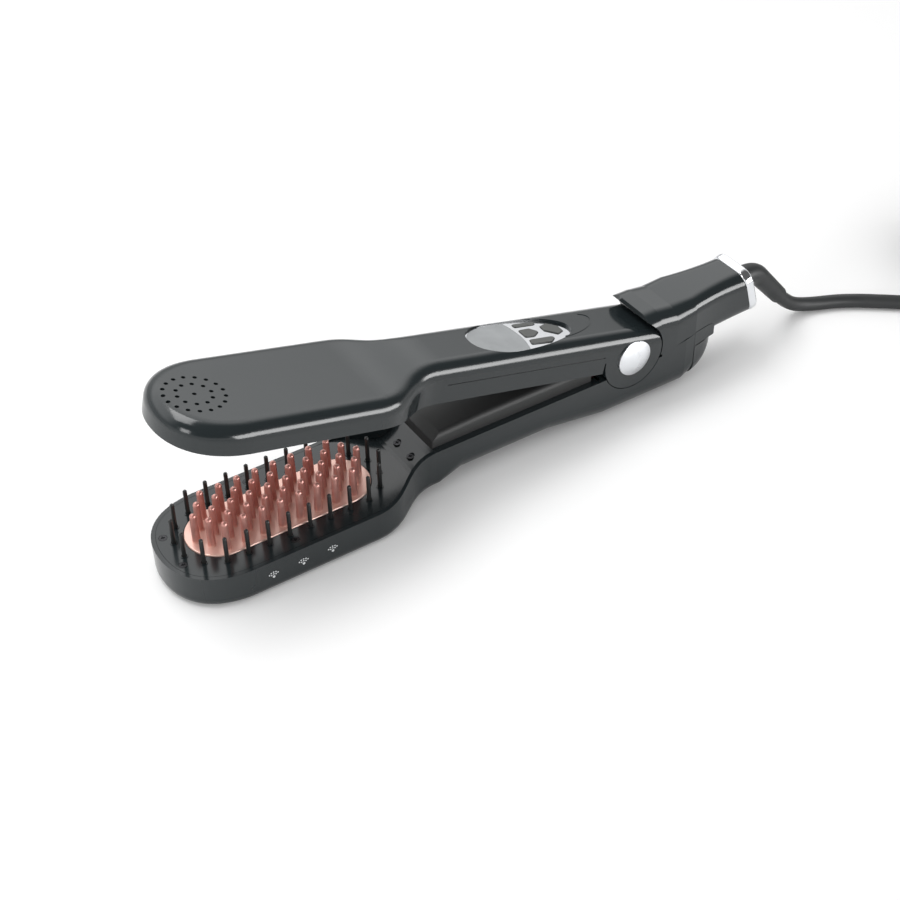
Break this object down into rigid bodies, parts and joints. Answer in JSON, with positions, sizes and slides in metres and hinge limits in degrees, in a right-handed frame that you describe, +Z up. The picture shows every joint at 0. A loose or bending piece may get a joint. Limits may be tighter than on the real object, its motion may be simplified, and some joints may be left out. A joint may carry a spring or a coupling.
{
  "type": "steam styling brush",
  "caption": "Hinged steam straightening comb: heated toothed plate below, vented paddle with display and keys above, water tank, corded tail.",
  "frame": {"origin": "on the resting plane, straight below the hinge axis and in the middle of the width", "axes": "+X runs back along the arm to the cord, +Y across to the side away from the keypad operator's view in the picture, +Z up; the hinge axis is parallel to Y"},
  "size_m": [0.5215, 0.0921, 0.0921],
  "materials": {
    "shell": "polished black moulded plastic",
    "matte_shell": "fine spark-textured black plastic",
    "coated_comb": "copper-coloured ceramic coating on cast metal",
    "pin_nylon": "black heat-resistant nylon",
    "silicone": "translucent silicone",
    "cast_aluminium": "die cast",
    "ceramic": "sintered",
    "steel": "plated",
    "board": "solder-masked laminate",
    "components": "moulded component bodies",
    "smoky_plastic": "smoke-tinted clear plastic",
    "chrome": "satin to bright chrome plating",
    "lead_insulation": "silicone insulation",
    "window": "polished grey display window",
    "key_plastic": "satin dark grey keys",
    "cord_rubber": "matt black cord jacket",
    "plated_brass": "nickel plated"
  },
  "bodies": {
    "lower_arm": {"lower_shell": "shell", "head_cover": "shell", "grip_cover": "shell", "inner_housing": "matte_shell", "tail_cover": "shell", "tail_ring": "chrome", "comb_plate": "coated_comb", "side_pins": "pin_nylon", "chamber_seal": "silicone", "steam_chamber": "cast_aluminium", "ceramic_heater": "ceramic", "heater_clamp": "steel", "thermal_fuse": "steel", "thermistor": "ceramic", "power_board": "board", "board_parts": "components", "water_pump": "components", "steam_hose": "silicone", "suction_hose": "silicone", "tank_socket": "pin_nylon", "hinge_bushes": "pin_nylon", "opening_spring": "steel", "cord_guard": "cord_rubber", "cord_clamp": "pin_nylon", "mains_leads": "lead_insulation", "heater_leads": "lead_insulation", "lower_screws": "steel", "tail_screws": "steel", "power_cord": "cord_rubber", "cord_coil": "cord_rubber", "cord_tie": "pin_nylon", "plug_lead": "cord_rubber", "plug_body": "cord_rubber", "plug_pins": "plated_brass"},
    "upper_arm": {"upper_shell": "shell", "upper_inner_cover": "shell", "upper_screws": "steel", "display_window": "window", "display_module": "components", "keypad_bezel": "chrome", "control_board": "board", "key_switches": "components", "hinge_leads": "lead_insulation", "hinge_pin": "steel", "hinge_cap_near": "chrome", "hinge_cap_far": "chrome"},
    "water_drawer": {"water_tank": "smoky_plastic", "tank_plug": "silicone", "tank_seal": "silicone"},
    "far_key": {"key_far": "key_plastic"},
    "near_key": {"key_near": "key_plastic"},
    "centre_key": {"key_centre": "key_plastic"},
    "nose_key": {"key_nose": "key_plastic"}
  },
  "joints": [
    {"name": "arm_hinge", "type": "hinge", "parent": "lower_arm", "child": "upper_arm", "pos_m": [0, 0, 0.0305], "axis": [0, 1, 0], "range_deg": [-14, 0], "stiffness_Nm_per_rad": 0.5, "springref_deg": 34.38},
    {"name": "tank_slide", "type": "slide", "parent": "lower_arm", "child": "water_drawer", "axis": [1, 0, 0], "range_m": [0, 0.04]},
    {"name": "far_key_press", "type": "slide", "parent": "upper_arm", "child": "far_key", "axis": [-0.2419, 0, -0.9703], "range_m": [0, 0.0005], "stiffness_N_per_m": 400},
    {"name": "near_key_press", "type": "slide", "parent": "upper_arm", "child": "near_key", "axis": [-0.2419, 0, -0.9703], "range_m": [0, 0.0005], "stiffness_N_per_m": 400},
    {"name": "centre_key_press", "type": "slide", "parent": "upper_arm", "child": "centre_key", "axis": [-0.2419, 0, -0.9703], "range_m": [0, 0.0005], "stiffness_N_per_m": 400},
    {"name": "nose_key_press", "type": "slide", "parent": "upper_arm", "child": "nose_key", "axis": [-0.2419, 0, -0.9703], "range_m": [0, 0.0005], "stiffness_N_per_m": 400}
  ]
}
